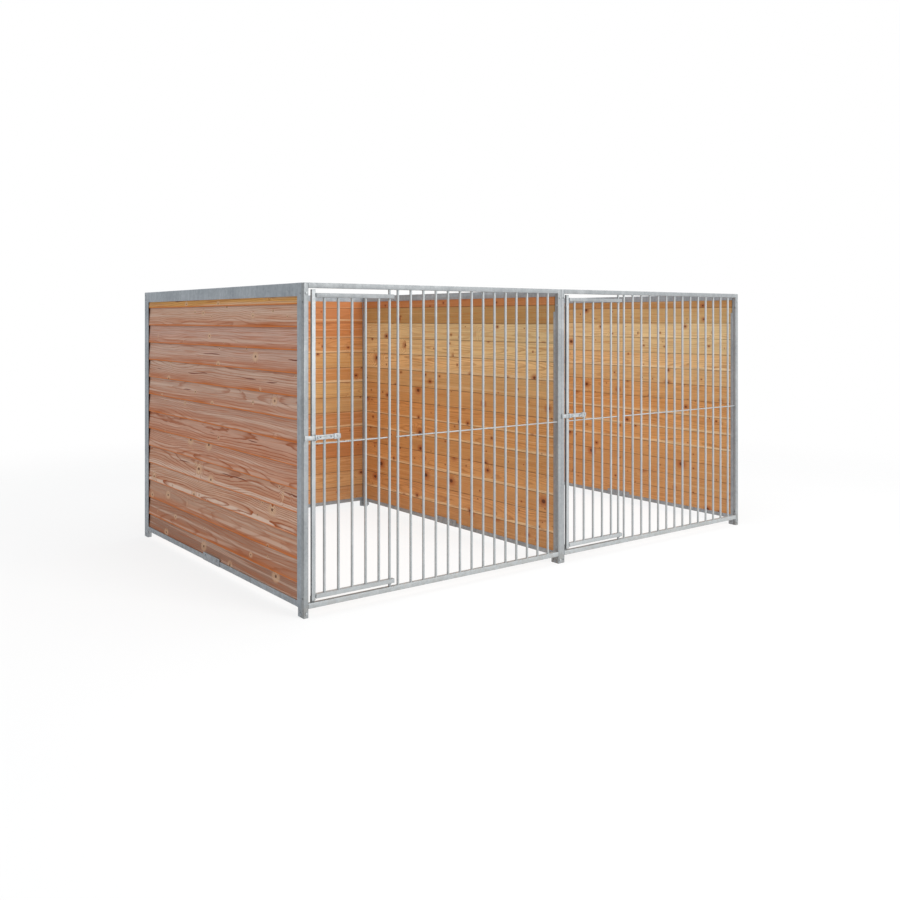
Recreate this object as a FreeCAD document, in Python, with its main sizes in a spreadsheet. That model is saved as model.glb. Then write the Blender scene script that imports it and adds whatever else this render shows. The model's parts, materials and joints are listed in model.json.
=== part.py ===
import FreeCAD
import Part
import Sketcher
import os
import re

from FreeCAD import Placement, Rotation, Vector

# A double dog kennel: two runs side by side, each with a barred front and a door, between boarded walls.
# Plan view: X runs along the front, Y from the front to the rear, Z up from the ground.

# Driving sizes in millimetres, and counts
SIZES = {
    # Panels
    "panel_width": 2000,
    "run_depth": 2500,
    "total_height": 1890,
    "foot_height": 50,
    "frame_tube": 30,
    "tube_skin": 2,
    # Bars of the fronts and doors
    "bar_diameter": 16,
    "bar_skin": 1.5,
    "panel_bars": 14,
    "door_bars": 5,
    "panel_bar_inset": 60.5,
    "last_bar_inset": 86,
    "door_bar_inset": 60,
    "door_hinge_inset": 76.5,
    "rod_diameter": 8,
    "rod_clearance": 0.2,
    "rod_height": 975,
    "rod_tail": 4,
    # Doors
    "door_gap": 24.4,
    "door_stile_width": 25,
    "stile_end_gap": 8,
    "closing_slot_drop": 85,
    "door_rail_height": 25,
    "door_foot_gap": 20,
    "door_head_gap": 28,
    "hinge_offset": 586,
    "hinge_clearance": 0.3,
    "rail_overrun": 27,
    "collar_height": 6,
    "collar_width": 3.5,
    "collar_clearance": 0.1,
    "stop_height": 35,
    "stop_thickness": 4,
    "stop_gap": 0.3,
    # Latches
    "latch_rise": 37,
    "latch_strip": 25,
    "latch_thickness": 5,
    "latch_reach": 212,
    "slide_gap": 0.3,
    "strap_gap": 1,
    "strap_skin": 3,
    "keeper_inset": 1,
    "keeper_width": 12,
    "tip_gap": 2,
    "near_guide_width": 10,
    "far_guide_width": 32,
    "guide_hole": 6.5,
    "guide_hole_inset": 11,
    "pin_diameter": 6,
    "pin_head": 11,
    "pin_inset": 11,
    "slot_clearance": 0.5,
    "lock_hole": 12,
    "lock_hole_inset": 90.5,
    # Boarded walls: channel frames of bent sheet
    "sheet_skin": 2.5,
    "stile_outer": 50,
    "stile_inner": 20,
    "mouth_drop": 155,
    "foot_width": 40,
    "top_rail_outer": 76,
    "top_rail_inner": 50,
    "bottom_rail_outer": 36,
    "bottom_rail_inner": 30,
    # Plates at the middle of each bottom rail, with two upright slots
    "plate_length": 265,
    "plate_height": 52,
    "plate_skin": 2.5,
    "plate_slot_width": 8,
    "plate_slot_height": 18,
    "plate_slot_inset": 40,
    "plate_slot_drop": 8,
    # Boards: thin upper edge, thick lower edge, rebated over the board below
    "board_cover": 132,
    "board_lap": 13,
    "board_butt": 23,
    "board_tip": 11,
    "lap_clearance": 0.4,
    "board_end_gap": 8.5,
    "board_top_gap": 40,
    "least_rip": 20,
    # Fasteners
    "bolt_diameter": 8,
    "bolt_clearance": 0.5,
    "bolt_tail": 1,
    "head_flats": 13,
    "head_height": 5.3,
    "nut_height": 6.5,
    "thread_clearance": 0.1,
    "foot_bolt_height": 25,
    "front_bolt_drop": 60,
    "rear_bolt_drop": 22,
    "link_bolt_inset": 110,
    # How far a cutting body stands out of what it cuts
    "cut_over": 1,
}

# Places that follow from the sizes
PLACES = {
    "mid_depth": "frame_tube / 2",
    "origin_x": "panel_width",
    "origin_y": "(run_depth + 2 * frame_tube + head_height - latch_front) / 2",
    "rail_top": "foot_height + frame_tube",
    "head_underside": "total_height - frame_tube",
    "bore_radius": "bar_diameter / 2 - bar_skin",
    "rod_bore": "rod_diameter / 2 + rod_clearance",
    "first_panel_bar": "hinge_offset + panel_bar_inset",
    "panel_bar_pitch": "(panel_width - frame_tube - last_bar_inset - first_panel_bar) / (panel_bars - 1)",
    "stile_left": "frame_tube + door_gap",
    "stile_right": "stile_left + door_stile_width",
    "stile_front": "mid_depth - bar_diameter / 2",
    "stile_back": "mid_depth + bar_diameter / 2",
    "stile_bottom": "rail_top + stile_end_gap",
    "stile_top": "head_underside - stile_end_gap",
    "first_door_bar": "stile_right + door_bar_inset",
    "door_bar_pitch": "(hinge_offset - door_hinge_inset - first_door_bar) / (door_bars - 1)",
    "second_door_bar": "first_door_bar + door_bar_pitch",
    "lower_rail": "rail_top + door_foot_gap",
    "upper_rail": "head_underside - door_head_gap - door_rail_height",
    "lower_rail_top": "lower_rail + door_rail_height",
    "rail_end": "hinge_offset + rail_overrun",
    "latch_travel": "keeper_width + tip_gap",
    "latch_tip": "keeper_inset + latch_travel",
    "latch_height": "rod_height + latch_rise",
    "latch_low": "latch_height - latch_strip / 2",
    "latch_high": "latch_height + latch_strip / 2",
    "tunnel_low": "latch_low - slot_clearance",
    "tunnel_high": "latch_high + slot_clearance",
    "bridge_back": "slide_gap + latch_thickness + strap_gap",
    "latch_front": "bridge_back + strap_skin",
    "pin_place": "stile_right + pin_inset",
    "lock_place": "stile_right + lock_hole_inset",
    "far_guide_end": "second_door_bar - bar_diameter / 2",
    "board_start": "sheet_skin + board_end_gap",
    "board_seat": "foot_height + sheet_skin",
    "bolt_hole": "bolt_diameter / 2 + bolt_clearance",
    "corner_grip": "frame_tube + sheet_skin",
    "rear_face": "run_depth + 2 * frame_tube",
}

doc = FreeCAD.newDocument("double_kennel")
sheet = doc.addObject("Spreadsheet::Sheet", "Sizes")
for row, (alias, value) in enumerate(SIZES.items(), 1):
    sheet.set(f"A{row}", alias)
    sheet.set(f"B{row}", str(value))
    sheet.setAlias(f"B{row}", alias)
doc.recompute()

ALONG = {
    "x": Rotation(Vector(0, 1, 0), 90),
    "y": Rotation(Vector(1, 0, 0), -90),
    "-y": Rotation(Vector(1, 0, 0), 90),
    "z": Rotation(),
}
nodes = []
mid_plates = []


def formula(text):
    """Turn words into references to the sheet, and places into their own formulas."""
    def swap(match):
        word = match.group(0)
        if word in PLACES:
            return "(" + formula(PLACES[word]) + ")"
        return "Sizes." + word
    return re.sub(r"[a-z][a-z_]*", swap, str(text))


def place(item, x, y, z, turn=Rotation()):
    item.Placement = Placement(Vector(), turn)
    for axis, text in zip("xyz", (x, y, z)):
        item.setExpression("Placement.Base." + axis, formula(text))
    return item


def box(name, x, y, z):
    """A box between a low and a high place on each axis."""
    item = doc.addObject("Part::Box", name)
    for side, (low, high) in zip(("Length", "Width", "Height"), (x, y, z)):
        item.setExpression(side, formula(f"({high}) - ({low})"))
    return place(item, x[0], y[0], z[0])


def cylinder(name, axis, radius, length, x, y, z):
    item = doc.addObject("Part::Cylinder", name)
    item.setExpression("Radius", formula(radius))
    item.setExpression("Height", formula(length))
    return place(item, x, y, z, ALONG[axis])


def hexagon(name, height, z):
    item = doc.addObject("Part::Prism", name)
    item.Polygon = 6
    item.setExpression("Circumradius", formula("head_flats / 2") + " / cos(30)")
    item.setExpression("Height", formula(height))
    return place(item, 0, 0, z)


def fuse(name, items):
    item = doc.addObject("Part::MultiFuse", name)
    item.Shapes = items
    return item


def cut(name, base, tools):
    item = doc.addObject("Part::Cut", name)
    item.Base = base
    item.Tool = tools[0] if len(tools) == 1 else fuse(name + "_tools", tools)
    return item


def mirror(name, source, middle):
    """The other end of a piece, mirrored about a plane across its length."""
    item = doc.addObject("Part::Mirroring", name)
    item.Source = source
    item.Normal = Vector(1, 0, 0)
    item.setExpression("Base.x", formula(middle))
    return item


def settle(item, label, x=0, y=0, z=0, turn=Rotation()):
    """Name a finished sub-part and place it about the kennel's middle on the ground."""
    item.Label = label
    nodes.append(item)
    return place(item, f"{x} - origin_x", f"{y} - origin_y", z, turn)


def group(name, items):
    item = doc.addObject("Part::Compound", name)
    item.Links = items
    return item


def hollow_box(name, x, y, z, skin, open_ends=""):
    """A box tube: the hollow runs out through the ends on the named axis."""
    inner = []
    for axis, (low, high) in zip("xyz", (x, y, z)):
        step = "-cut_over" if axis in open_ends else skin
        inner.append((f"{low} + ({step})", f"{high} - ({step})"))
    return box(name + "_shell", x, y, z), box(name + "_hollow", *inner)


# Barred fronts: square posts and rails, round bars, a thin rod through the bars


def bar_row(name, pitch, count, low, high):
    """A row of round tubes, drilled along the row for the thin rod."""
    body = doc.addObject("PartDesign::Body", name)
    planes = {plane.Role: plane for plane in body.Origin.OriginFeatures}

    ring = body.newObject("Sketcher::SketchObject", name + "_ring")
    ring.AttachmentSupport = [(planes["XY_Plane"], "")]
    ring.MapMode = "FlatFace"
    for index, radius in enumerate(("bar_diameter / 2", "bore_radius")):
        guess = SIZES["bar_diameter"] / (2 + index)
        ring.addGeometry(Part.Circle(Vector(), Vector(0, 0, 1), guess))
        ring.addConstraint(Sketcher.Constraint("Coincident", index, 3, -1, 1))
        datum = ring.addConstraint(Sketcher.Constraint("Radius", index, guess))
        ring.setExpression(f"Constraints[{datum}]", formula(radius))
    bar = body.newObject("PartDesign::Pad", name + "_bar")
    bar.Profile = ring
    bar.setExpression("Length", formula(f"({high}) - ({low})"))
    doc.recompute()

    row = body.newObject("PartDesign::LinearPattern", name + "_row")
    row.Originals = [bar]
    row.Direction = (ring, ["H_Axis"])
    row.Mode = "Spacing"
    row.setExpression("Offset", formula(pitch))
    row.setExpression("Occurrences", formula(count))
    body.Tip = row
    doc.recompute()
    undrilled = body.Shape.Volume

    drill = body.newObject("Sketcher::SketchObject", name + "_drill")
    drill.AttachmentSupport = [(planes["YZ_Plane"], "")]
    drill.MapMode = "FlatFace"
    middle = Vector(0, SIZES["rod_height"])
    drill.addGeometry(Part.Circle(middle, Vector(0, 0, 1), SIZES["rod_diameter"]))
    drill.addConstraint(Sketcher.Constraint("PointOnObject", 0, 3, -2))
    datum = drill.addConstraint(Sketcher.Constraint("Radius", 0, SIZES["rod_diameter"]))
    drill.setExpression(f"Constraints[{datum}]", formula("rod_bore"))
    datum = drill.addConstraint(Sketcher.Constraint("DistanceY", -1, 1, 0, 3, SIZES["rod_height"]))
    drill.setExpression(f"Constraints[{datum}]", formula(f"rod_height - ({low})"))
    holes = body.newObject("PartDesign::Pocket", name + "_holes")
    holes.Profile = drill
    holes.Type = "ThroughAll"
    holes.SideType = "Symmetric"
    body.Tip = holes
    doc.recompute()
    if body.Shape.Volume >= undrilled:
        raise RuntimeError(name + ": the rod holes cut nothing")
    return body


def post(name):
    """A front post: closed on top, with bolt holes to the wall behind and to the next panel."""
    across = ("0", "frame_tube")
    shell, hollow = hollow_box(name, across, across, ("0", "total_height"), "tube_skin")
    hollow.setExpression("Placement.Base.z", formula("-cut_over"))
    hollow.setExpression("Height", formula("total_height - tube_skin + cut_over"))
    holes = []
    for level in ("foot_bolt_height", "total_height - front_bolt_drop"):
        holes.append(cylinder(name + "_wall_hole", "y", "bolt_hole", "frame_tube + 2 * cut_over",
                              "mid_depth", "-cut_over", level))
    for level in ("link_bolt_inset", "total_height - link_bolt_inset"):
        holes.append(cylinder(name + "_link_hole", "x", "bolt_hole", "frame_tube + 2 * cut_over",
                              "-cut_over", "mid_depth", level))
    return cut(name + "_post", shell, [hollow] + holes)


def front(number, left):
    name = f"front_{number}"
    depth = ("0", "frame_tube")
    between = ("frame_tube", "panel_width - frame_tube")

    near = post(name + "_near")
    far = mirror(name + "_far", near, "panel_width / 2")
    settle(group(name + "_posts", [near, far]), name + "_posts", left)

    levels = {"bottom_rail": ("foot_height", "rail_top"), "top_rail": ("head_underside", "total_height")}
    for rail, level in levels.items():
        shell, hollow = hollow_box(f"{name}_{rail}", between, depth, level, "tube_skin", "x")
        settle(cut(f"{name}_{rail}_tube", shell, [hollow]), f"{name}_{rail}", left)

    bars = bar_row(name + "_bars", "panel_bar_pitch", "panel_bars", "rail_top", "head_underside")
    settle(bars, name + "_bars", f"{left} + first_panel_bar", "mid_depth", "rail_top")

    rod_start = "first_panel_bar - bar_diameter / 2 - rod_tail"
    rod_length = f"panel_width - frame_tube - ({rod_start})"
    rod = cylinder(name + "_rod", "x", "rod_diameter / 2", rod_length, 0, 0, 0)
    settle(rod, name + "_mid_rod", f"{left} + {rod_start}", "mid_depth", "rod_height", ALONG["x"])

    span = "head_underside - rail_top"
    bar = cylinder(name + "_pivot", "z", "bar_diameter / 2", span, 0, 0, 0)
    bore = cylinder(name + "_pivot_bore", "z", "bore_radius", f"{span} + 2 * cut_over", 0, 0, "-cut_over")
    pivot = cut(name + "_pivot_tube", bar, [bore])
    settle(pivot, name + "_hinge_bar", f"{left} + hinge_offset", "mid_depth", "rail_top")


# Doors: one slotted stile, two rails that turn on the hinge bar, bars and rod between them


def door_rail(name, level):
    length = ("stile_right", "rail_end")
    height = (level, f"{level} + door_rail_height")
    shell, hollow = hollow_box(name, length, ("0", "frame_tube"), height, "tube_skin")
    eye = cylinder(name + "_eye", "z", "bar_diameter / 2 + hinge_clearance",
                   "door_rail_height + 2 * cut_over", "hinge_offset", "mid_depth", f"{level} - cut_over")
    return cut(name + "_rail", shell, [hollow, eye])


def strap(name, start, end, back):
    """A flat strap bridging over the latch bolt, its legs standing back to the given depth."""
    tall = ("tunnel_low - strap_skin", "tunnel_high + strap_skin")
    block = box(name, (start, end), ("-latch_front", back), tall)
    tunnel = box(name + "_tunnel", (f"{start} - cut_over", f"{end} + cut_over"),
                 ("-bridge_back", f"{back} + cut_over"), ("tunnel_low", "tunnel_high"))
    return block, tunnel


def latch(number, left):
    """A flat bolt that slides on a plate across the door, under two straps, with a headed pin in its slot."""
    name = f"door_{number}"
    plate = box(name + "_plate", ("stile_left", "second_door_bar + bar_diameter / 2"), ("0", "stile_front"),
                ("tunnel_low", "tunnel_high"))
    padlock = cylinder(name + "_plate_hole", "y", "lock_hole / 2", "stile_front + 2 * cut_over",
                       "lock_place - latch_travel", "-cut_over", "latch_height")
    settle(cut(name + "_latch_back", plate, [padlock]), name + "_latch_plate", left)

    near_start = "stile_right - near_guide_width"
    near_block, near_tunnel = strap(name + "_near", near_start, "stile_right", "stile_front")
    far_start = "far_guide_end - far_guide_width"
    far_block, far_tunnel = strap(name + "_far", far_start, "far_guide_end", "stile_front")
    rivet_hole = cylinder(name + "_guide_hole", "y", "guide_hole / 2", "latch_front",
                          "far_guide_end - guide_hole_inset", "-latch_front - cut_over", "latch_height")
    guides = [cut(name + "_near_guide", near_block, [near_tunnel]),
              cut(name + "_far_guide", far_block, [far_tunnel, rivet_hole])]
    settle(group(name + "_guides", guides), name + "_latch_guides", left)

    shank = cylinder(name + "_shank", "-y", "pin_diameter / 2", "bridge_back",
                     "pin_place", 0, "latch_height")
    head = cylinder(name + "_head", "-y", "pin_head / 2", "strap_skin",
                    "pin_place", "-bridge_back", "latch_height")
    settle(fuse(name + "_pin", [shank, head]), name + "_latch_pin", left)

    over = "latch_thickness + 2 * cut_over"
    far_slot = "pin_place + latch_travel"
    slot_radius = "pin_diameter / 2 + slot_clearance"
    deep = ("-slide_gap - latch_thickness - cut_over", "-slide_gap + cut_over")
    strip = box(name + "_strip", ("latch_tip", "latch_tip + latch_reach"),
                ("-slide_gap - latch_thickness", "-slide_gap"), ("latch_low", "latch_high"))
    tools = [box(name + "_slot", ("pin_place", far_slot), deep,
                 (f"latch_height - ({slot_radius})", f"latch_height + {slot_radius}"))]
    rounds = {"pin_place": slot_radius, far_slot: slot_radius, "lock_place": "lock_hole / 2"}
    for spot, radius in rounds.items():
        tools.append(cylinder(name + "_bolt_hole", "y", radius, over, spot, deep[0], "latch_height"))
    settle(cut(name + "_bolt", strip, tools), f"latch_{number}_bolt", left)


def door(number, left):
    name = f"door_{number}"
    width = ("stile_left", "stile_right")
    depth = ("stile_front", "stile_back")
    height = ("stile_bottom", "stile_top")
    shell, hollow = hollow_box(name + "_stile", width, depth, height, "tube_skin")
    slot = box(name + "_closing_slot", ("stile_left - cut_over", "stile_left + tube_skin + cut_over"),
               ("stile_front + tube_skin", "stile_back - tube_skin"),
               ("stile_bottom + tube_skin", "stile_top - closing_slot_drop"))
    settle(cut(name + "_stile_tube", shell, [hollow, slot]), name + "_stile", left)

    settle(door_rail(name + "_lower", "lower_rail"), name + "_bottom_rail", left)
    settle(door_rail(name + "_upper", "upper_rail"), name + "_top_rail", left)

    bars = bar_row(name + "_bars", "door_bar_pitch", "door_bars", "lower_rail_top", "upper_rail")
    settle(bars, name + "_bars", f"{left} + first_door_bar", "mid_depth", "lower_rail_top")

    rod_end = "hinge_offset - bar_diameter / 2 - rod_diameter"
    rod = cylinder(name + "_rod", "x", "rod_diameter / 2", f"{rod_end} - stile_right", 0, 0, 0)
    settle(rod, name + "_mid_rod", f"{left} + stile_right", "mid_depth", "rod_height", ALONG["x"])


# What the frame holds for the doors: collars under the door rails, stops and latch keepers


def hinge_collars(lefts):
    collars = []
    for left in lefts:
        for rail in ("lower_rail", "upper_rail"):
            spot = (f"{left} + hinge_offset", "mid_depth")
            ring = cylinder("collar", "z", "bar_diameter / 2 + collar_width", "collar_height",
                            *spot, f"{rail} - collar_height")
            bore = cylinder("collar_bore", "z", "bar_diameter / 2 + collar_clearance",
                            "collar_height + 2 * cut_over", *spot, f"{rail} - collar_height - cut_over")
            collars.append(cut("collar_ring", ring, [bore]))
    settle(group("collars", collars), "hinge_collars")


def door_stops(lefts):
    stops = []
    for left in lefts:
        back = "stile_back + stop_gap"
        stops.append(box("stop", (f"{left} + stile_left", f"{left} + stile_right"),
                         (back, f"{back} + stop_thickness"), ("rail_top", "rail_top + stop_height")))
    settle(group("stops", stops), "door_stops")


def latch_keepers(lefts):
    keepers = []
    for left in lefts:
        start = f"{left} + keeper_inset"
        block, tunnel = strap("keeper", start, f"{start} + keeper_width", "0")
        keepers.append(cut("keeper_strap", block, [tunnel]))
    settle(group("keepers", keepers), "latch_keepers")


# Boarded walls, drawn along X with the flat inner side at Y = 0 and the lapped outer side at Y = frame_tube


def wall_stile(name, upper_hole):
    """A channel with a long outer and a short inner flange, left open near the top to let the boards in."""
    skin_to_skin = ("sheet_skin", "frame_tube - sheet_skin")
    inner_skin = ("-cut_over", "sheet_skin")
    past = "stile_outer + cut_over"
    above = "total_height + cut_over"
    tools = [
        box(name + "_channel", ("sheet_skin", past), skin_to_skin, ("foot_height", above)),
        box(name + "_lip", ("stile_inner", past), inner_skin, ("foot_height", above)),
        box(name + "_mouth", ("sheet_skin", past), inner_skin, ("total_height - mouth_drop", above)),
        box(name + "_foot_side", ("foot_width", past), ("-cut_over", "frame_tube + cut_over"),
            ("-cut_over", "foot_height")),
        box(name + "_foot_hollow", ("sheet_skin", "foot_width - sheet_skin"), skin_to_skin,
            ("-cut_over", "foot_height - sheet_skin")),
        cylinder(name + "_foot_hole", "y", "bolt_hole", "frame_tube + 2 * cut_over",
                 "mid_depth", "-cut_over", "foot_bolt_height"),
        cylinder(name + "_upper_hole", "y", "bolt_hole", "sheet_skin + 2 * cut_over",
                 "mid_depth", "frame_tube - sheet_skin - cut_over", f"total_height - {upper_hole}"),
    ]
    for level in ("foot_bolt_height", "total_height - front_bolt_drop", "total_height - rear_bolt_drop"):
        tools.append(cylinder(name + "_end_hole", "x", "bolt_hole", "sheet_skin + 2 * cut_over",
                              "-cut_over", "mid_depth", level))
    solid = box(name, ("0", "stile_outer"), ("0", "frame_tube"), ("0", "total_height"))
    return cut(name + "_profile", solid, tools)


def wall_rail(name, length, level, hollow_level, lip_level, inner_notch):
    """A channel between the webs of the stiles, notched where their flanges cover it."""
    along = ("sheet_skin", f"{length} - sheet_skin")
    past = ("-cut_over", f"{length} + cut_over")
    inner_skin = ("-cut_over", "sheet_skin")
    outer_skin = ("frame_tube - sheet_skin", "frame_tube + cut_over")
    tall = (f"{level[0]} - cut_over", f"{level[1]} + cut_over")
    tools = [
        box(name + "_hollow", past, ("sheet_skin", "frame_tube - sheet_skin"), hollow_level),
        box(name + "_lip", past, inner_skin, lip_level),
    ]
    for start, end in ((past[0], "stile_outer"), (f"{length} - stile_outer", past[1])):
        tools.append(box(name + "_outer_notch", (start, end), outer_skin, tall))
    for start, end in ((past[0], inner_notch), (f"{length} - {inner_notch}", past[1])):
        tools.append(box(name + "_inner_notch", (start, end), inner_skin, tall))
    return cut(name + "_profile", box(name, along, ("0", "frame_tube"), level), tools)


def board_profile(name, height):
    """Section of a board, across and up: flat inside, tapered outside, rebated at the foot."""
    sketch = doc.addObject("Sketcher::SketchObject", name)
    butt = "board_butt"
    taper = f"({butt} - board_tip) / (board_cover + board_lap)"
    rebate = f"{butt} - board_cover * {taper} + lap_clearance"
    corners = [(rebate, "0"), (butt, "0"), (f"{butt} - ({height}) * {taper}", height), ("0", height),
               ("0", "board_lap"), (rebate, "board_lap")]
    thick, thin, cover, lap = (SIZES["board_" + word] for word in ("butt", "tip", "cover", "lap"))
    rough = [Vector(thin, 0), Vector(thick, 0), Vector(thin, cover), Vector(0, cover),
             Vector(0, lap), Vector(thin, lap)]
    for index, corner in enumerate(rough):
        sketch.addGeometry(Part.LineSegment(corner, rough[(index + 1) % len(rough)]))
    for index, (across, up) in enumerate(corners):
        before = (index - 1) % len(rough)
        sketch.addConstraint(Sketcher.Constraint("Coincident", before, 2, index, 1))
        for kind, text, guess in (("DistanceX", across, rough[index].x), ("DistanceY", up, rough[index].y)):
            datum = sketch.addConstraint(Sketcher.Constraint(kind, -1, 1, index, 1, guess))
            if text != "0":
                sketch.setExpression(f"Constraints[{datum}]", formula(text))
    sketch.Placement = Placement(Vector(), Rotation(Vector(1, 1, 1), 120))
    return sketch


def wall_boards(name, length, rows, full, ripped):
    boards = []
    for row in range(rows + 1):
        board = doc.addObject("Part::Extrusion", name + "_board")
        board.Base = full if row < rows else ripped
        board.DirMode = "Custom"
        board.Dir = Vector(1, 0, 0)
        board.Solid = True
        board.setExpression("LengthFwd", formula(f"{length} - 2 * (board_start)"))
        boards.append(place(board, "board_start", "sheet_skin", f"board_seat + {row} * board_cover"))
    return group(name + "_boards", boards)


def mid_plate(name, length, face):
    """A plate on the middle of the bottom rail that stands up over the lowest board."""
    start = f"({length} - plate_length) / 2"
    end = f"{start} + plate_length"
    top = "foot_height + plate_height"
    slot_top = f"{top} - plate_slot_drop"
    deep = (f"{face} - cut_over", f"{face} + plate_skin + cut_over")
    slots = []
    for middle in (f"{start} + plate_slot_inset", f"{end} - plate_slot_inset"):
        width = (f"{middle} - plate_slot_width / 2", f"{middle} + plate_slot_width / 2")
        slots.append(box(name + "_slot", width, deep, (f"{slot_top} - plate_slot_height", slot_top)))
    blank = box(name, (start, end), (face, f"{face} + plate_skin"), ("foot_height", top))
    return cut(name + "_slotted", blank, slots)


def wall(name, length, upper_hole, x, y, turn, boards):
    spot = (x, y, 0, Rotation(Vector(0, 0, 1), turn))
    stile = wall_stile(name + "_stile", upper_hole)
    other = mirror(name + "_other_stile", stile, f"{length} / 2")
    settle(group(name + "_stiles", [stile, other]), name + "_stiles", *spot)

    top = "total_height"
    above = ("total_height - top_rail_outer - cut_over", "total_height - sheet_skin")
    rail = wall_rail(name + "_top", length, (f"{top} - top_rail_outer", top), above,
                     (above[0], f"{top} - top_rail_inner"), "sheet_skin")
    bores = []
    for end in ("mid_depth", f"{length} - mid_depth"):
        bores.append(cylinder(name + "_top_hole", "y", "bolt_hole", "sheet_skin + 2 * cut_over",
                              end, "-cut_over", f"{top} - rear_bolt_drop"))
    settle(cut(name + "_top_drilled", rail, bores), name + "_top_rail", *spot)

    brim = "foot_height + bottom_rail_outer + cut_over"
    rail = wall_rail(name + "_bottom", length, ("foot_height", "foot_height + bottom_rail_outer"),
                     ("board_seat", brim), ("foot_height + bottom_rail_inner", brim), "stile_inner")
    settle(rail, name + "_bottom_rail", *spot)

    settle(wall_boards(name, length, *boards), name + "_boards", *spot)

    for face in ("-plate_skin", "frame_tube"):
        plate = mid_plate(name + "_plate", length, face)
        mid_plates.append(place(plate, f"{x} - origin_x", f"{y} - origin_y", *spot[2:]))


# Fasteners: hexagon bolts through neighbouring panels, each with a nut inside the far one


def fastener(grip, x, y, z, axis):
    """A bolt with its head seated at the given place, and its nut past the grip."""
    spot = (f"{x} - origin_x", f"{y} - origin_y", z, ALONG[axis])
    head = hexagon("head", "head_height", "-head_height")
    shank = cylinder("shank", "z", "bolt_diameter / 2", f"{grip} + nut_height + bolt_tail", 0, 0, 0)
    bolt = place(fuse("bolt", [head, shank]), *spot)
    blank = hexagon("nut_blank", "nut_height", grip)
    thread = cylinder("nut_thread", "z", "bolt_diameter / 2 + thread_clearance",
                      "nut_height + 2 * cut_over", 0, 0, f"{grip} - cut_over")
    nut = place(cut("nut", blank, [thread]), *spot)
    return bolt, nut


def fasteners():
    corner, front_link, rear_link = [], [], []
    wall_middles = ("mid_depth", "panel_width - mid_depth", "2 * panel_width - mid_depth")
    for middle in wall_middles:
        for level in ("foot_bolt_height", "total_height - front_bolt_drop"):
            corner.append(fastener("corner_grip", middle, 0, level, "y"))
        for level in ("foot_bolt_height", "total_height - rear_bolt_drop"):
            corner.append(fastener("corner_grip", middle, "rear_face", level, "-y"))
    for level in ("link_bolt_inset", "total_height - link_bolt_inset"):
        front_link.append(fastener("2 * frame_tube", "panel_width - frame_tube", "mid_depth", level, "x"))
    for level in ("foot_bolt_height", "total_height - rear_bolt_drop"):
        rear_link.append(fastener("2 * sheet_skin", "panel_width - sheet_skin", "rear_face - mid_depth",
                                  level, "x"))
    rows = {"corner_bolts": corner, "front_link_bolts": front_link, "rear_link_bolts": rear_link}
    for label, pairs in rows.items():
        bolts = group(label, [bolt for bolt, nut in pairs])
        bolts.Label = label
        nodes.append(bolts)
    nuts = group("nuts", [nut for bolt, nut in corner + front_link + rear_link])
    nuts.Label = "bolt_nuts"
    nodes.append(nuts)


lefts = ("0", "panel_width")
for number, left in enumerate(lefts, 1):
    front(number, left)
    door(number, left)
    latch(number, left)
hinge_collars(lefts)
door_stops(lefts)
latch_keepers(lefts)

# Whole boards up to the last full row, and one ripped to fit under the top rail
board_room = sheet.total_height - sheet.board_top_gap - sheet.foot_height - sheet.sheet_skin
rows = int((board_room - sheet.least_rip) // sheet.board_cover)
rip = f"total_height - board_top_gap - board_seat - {rows} * board_cover"
boards = (rows, board_profile("full_board", "board_cover + board_lap"), board_profile("ripped_board", rip))

behind = "frame_tube"
rear = "frame_tube + run_depth"
wall("left_wall", "run_depth", "front_bolt_drop", "frame_tube", behind, 90, boards)
wall("divider", "run_depth", "front_bolt_drop", "panel_width - frame_tube", rear, -90, boards)
wall("right_wall", "run_depth", "front_bolt_drop", "2 * panel_width - frame_tube", rear, -90, boards)
wall("rear_wall_1", "panel_width", "rear_bolt_drop", "0", rear, 0, boards)
wall("rear_wall_2", "panel_width", "rear_bolt_drop", "panel_width", rear, 0, boards)
fasteners()
plates = group("plates", mid_plates)
plates.Label = "mid_plates"
nodes.append(plates)

doc.recompute()
for item in doc.Objects:
    if "Invalid" in item.State or "Error" in item.State:
        raise RuntimeError(f"{item.Label} could not be built: {item.State}")
for node in nodes:
    if node.Shape.isNull() or not node.Shape.isValid():
        raise RuntimeError(f"{node.Label} has no valid shape")

os.makedirs("parts", exist_ok=True)
for node in nodes:
    node.Shape.exportStep(f"parts/{node.Label}.step")
print(len(nodes), "sub-parts,", sum(len(node.Shape.Solids) for node in nodes), "solids")
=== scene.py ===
"""Looks of a double dog kennel: barred galvanised fronts with hinged doors, boarded walls, open top."""
import json
import math

import bmesh
import bpy
from mathutils import Matrix, Vector

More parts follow.
